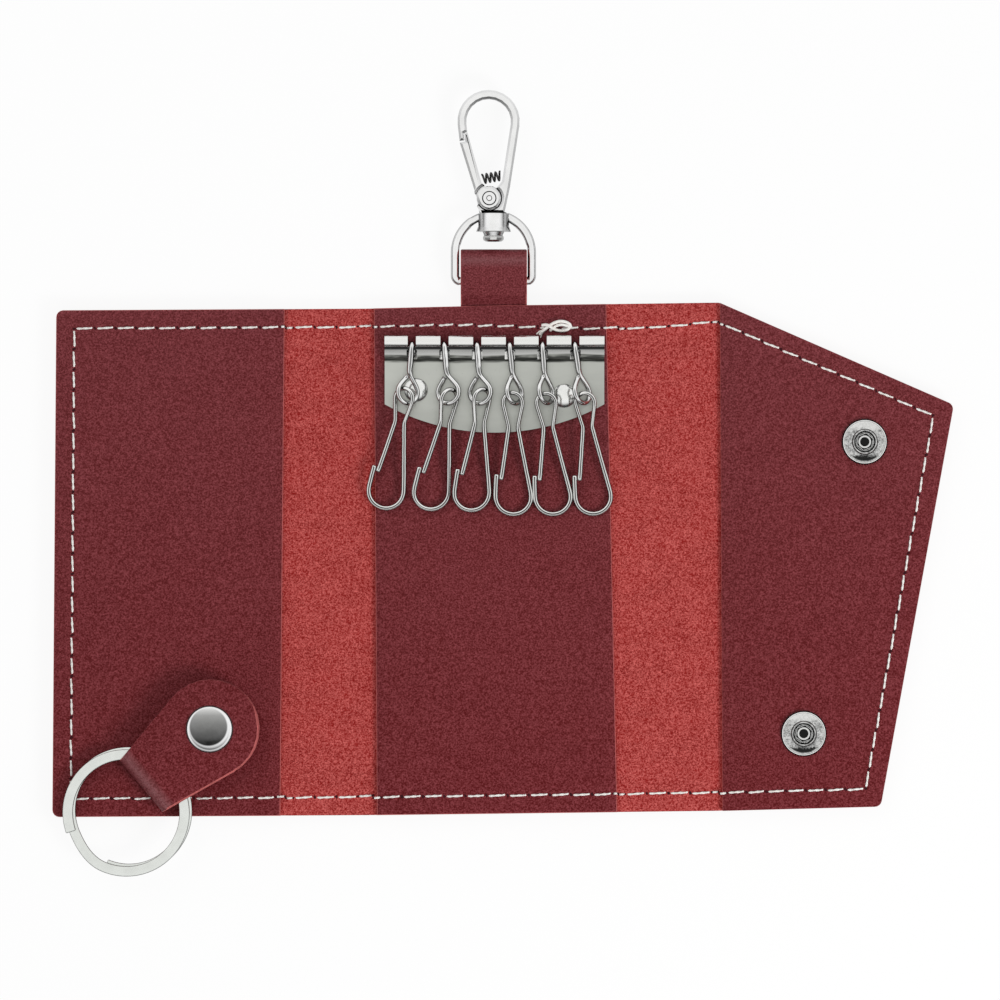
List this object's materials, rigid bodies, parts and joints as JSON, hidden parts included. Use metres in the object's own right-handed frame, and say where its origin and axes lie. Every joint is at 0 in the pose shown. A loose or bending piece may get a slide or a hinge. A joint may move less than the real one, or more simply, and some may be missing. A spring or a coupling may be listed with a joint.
{
  "type": "key case",
  "caption": "Trifold leather key case, open flat, with a metal plate of hinged key hooks, a split ring on a snap tab and a swivel clasp on a strap.",
  "frame": {"origin": "on the back of the outer cover, at the middle of the middle panel", "axes": "+X across the open case to the pointed flap, +Y up the case to the clasp, +Z out of the inside face"},
  "size_m": [0.2068, 0.1806, 0.0117],
  "materials": {
    "outer_leather": "soft suede flesh side of dyed leather, dark crimson brown",
    "inner_leather": "smooth semi matt dyed leather, burgundy",
    "strap_leather": "smooth semi matt dyed leather with paler cut edges",
    "thread": "waxed thread, off white",
    "nickel": "nickel plated sheet and wire, lightly worn",
    "snap_metal": "nickel plated pressed brass, satin",
    "spring_steel": "drawn spring steel wire",
    "bright_chrome": "bright nickel plate"
  },
  "bodies": {
    "middle": {"cover_middle": "outer_leather", "panel_middle": "inner_leather", "stitching_middle": "thread", "key_plate": "nickel", "plate_rivet_left": "nickel", "plate_rivet_right": "nickel", "strap": "strap_leather"},
    "left_spine": {"cover_left_strip": "outer_leather", "stitching_left_strip": "thread"},
    "left_panel": {"cover_left": "outer_leather", "panel_left": "inner_leather", "stitching_left": "thread", "stud_upper": "snap_metal", "stud_lower": "snap_metal", "tab_stud": "snap_metal"},
    "right_spine": {"cover_right_strip": "outer_leather", "stitching_right_strip": "thread"},
    "right_panel": {"cover_right": "outer_leather", "panel_right": "inner_leather", "stitching_right": "thread", "cap_upper": "snap_metal", "cap_lower": "snap_metal", "socket_upper": "snap_metal", "socket_lower": "snap_metal", "spring_upper": "spring_steel", "spring_lower": "spring_steel"},
    "tab": {"tab": "strap_leather", "tab_cap": "snap_metal", "tab_socket": "snap_metal", "tab_spring": "spring_steel"},
    "ring": {"split_ring": "bright_chrome"},
    "dee": {"dee_ring": "bright_chrome"},
    "clasp": {"clasp_body": "bright_chrome", "clasp_rivet": "bright_chrome", "gate_spring": "spring_steel"},
    "gate": {"gate": "bright_chrome"},
    "link_1": {"link_1": "nickel"},
    "hook_1": {"hook_1": "spring_steel"},
    "link_2": {"link_2": "nickel"},
    "hook_2": {"hook_2": "spring_steel"},
    "link_3": {"link_3": "nickel"},
    "hook_3": {"hook_3": "spring_steel"},
    "link_4": {"link_4": "nickel"},
    "hook_4": {"hook_4": "spring_steel"},
    "link_5": {"link_5": "nickel"},
    "hook_5": {"hook_5": "spring_steel"},
    "link_6": {"link_6": "nickel"},
    "hook_6": {"hook_6": "spring_steel"}
  },
  "joints": [
    {"name": "left_spine_fold", "type": "hinge", "parent": "middle", "child": "left_spine", "pos_m": [-0.0297, 0, 0.0012], "axis": [0, 1, 0], "range_deg": [0, 90]},
    {"name": "left_panel_fold", "type": "hinge", "parent": "left_spine", "child": "left_panel", "pos_m": [-0.0479, 0, 0.0012], "axis": [0, 1, 0], "range_deg": [0, 90]},
    {"name": "right_spine_fold", "type": "hinge", "parent": "middle", "child": "right_spine", "pos_m": [0.0284, 0, 0.0012], "axis": [0, -1, 0], "range_deg": [0, 90]},
    {"name": "right_panel_fold", "type": "hinge", "parent": "right_spine", "child": "right_panel", "pos_m": [0.0516, 0, 0.0012], "axis": [0, -1, 0], "range_deg": [0, 90]},
    {"name": "tab_swivel", "type": "hinge", "parent": "left_panel", "child": "tab", "pos_m": [-0.0652, -0.0384, 0.003], "axis": [0, 0, 1], "range_deg": [-60, 45]},
    {"name": "ring_turn", "type": "hinge", "parent": "tab", "child": "ring", "pos_m": [-0.08417, -0.05745, 0.00452], "axis": [-0.0454, -0.0381, 0.9982], "continuous": true},
    {"name": "dee_swing", "type": "hinge", "parent": "middle", "child": "dee", "pos_m": [-0.00025, 0.0643, 0.0022], "axis": [1, 0, 0], "range_deg": [-90, 90]},
    {"name": "clasp_swivel", "type": "hinge", "parent": "dee", "child": "clasp", "pos_m": [-0.00025, 0.078, 0.0022], "axis": [0, 1, 0], "continuous": true},
    {"name": "gate_open", "type": "hinge", "parent": "clasp", "child": "gate", "pos_m": [-0.0012, 0.0833, 0.0022], "axis": [0, 0, -1], "range_deg": [0, 22], "stiffness_Nm_per_rad": 0.01, "springref_deg": -11.46, "deforming": ["gate_spring"]},
    {"name": "link_1_lift", "type": "hinge", "parent": "middle", "child": "link_1", "pos_m": [-0.01895, 0.04885, 0.00435], "axis": [1, 0, 0], "range_deg": [-100, 0]},
    {"name": "hook_1_swing", "type": "hinge", "parent": "link_1", "child": "hook_1", "pos_m": [-0.02007, 0.03617, 0.00645], "axis": [1, 0, 0], "range_deg": [-50, 0]},
    {"name": "link_2_lift", "type": "hinge", "parent": "middle", "child": "link_2", "pos_m": [-0.01145, 0.04885, 0.00435], "axis": [1, 0, 0], "range_deg": [-100, 0]},
    {"name": "hook_2_swing", "type": "hinge", "parent": "link_2", "child": "hook_2", "pos_m": [-0.01033, 0.03617, 0.00645], "axis": [1, 0, 0], "range_deg": [-50, 0]},
    {"name": "link_3_lift", "type": "hinge", "parent": "middle", "child": "link_3", "pos_m": [-0.00395, 0.04885, 0.00435], "axis": [1, 0, 0], "range_deg": [-100, 0]},
    {"name": "hook_3_swing", "type": "hinge", "parent": "link_3", "child": "hook_3", "pos_m": [-0.0031, 0.03614, 0.00641], "axis": [1, 0, 0], "range_deg": [-50, 0]},
    {"name": "link_4_lift", "type": "hinge", "parent": "middle", "child": "link_4", "pos_m": [0.00355, 0.04885, 0.00435], "axis": [1, 0, 0], "range_deg": [-100, 0]},
    {"name": "hook_4_swing", "type": "hinge", "parent": "link_4", "child": "hook_4", "pos_m": [0.00483, 0.03612, 0.006], "axis": [1, 0, 0], "range_deg": [-50, 0]},
    {"name": "link_5_lift", "type": "hinge", "parent": "middle", "child": "link_5", "pos_m": [0.01105, 0.04885, 0.00435], "axis": [1, 0, 0], "range_deg": [-100, 0]},
    {"name": "hook_5_swing", "type": "hinge", "parent": "link_5", "child": "hook_5", "pos_m": [0.01197, 0.03621, 0.00676], "axis": [1, 0, 0], "range_deg": [-50, 0]},
    {"name": "link_6_lift", "type": "hinge", "parent": "middle", "child": "link_6", "pos_m": [0.01855, 0.04885, 0.00435], "axis": [1, 0, 0], "range_deg": [-100, 0]},
    {"name": "hook_6_swing", "type": "hinge", "parent": "link_6", "child": "hook_6", "pos_m": [0.02046, 0.03621, 0.0061], "axis": [1, 0, 0], "range_deg": [-50, 0]}
  ],
  "couplings": [
    {"joint": "left_panel_fold", "follows": "left_spine_fold", "ratio": 1},
    {"joint": "right_panel_fold", "follows": "right_spine_fold", "ratio": 1}
  ]
}
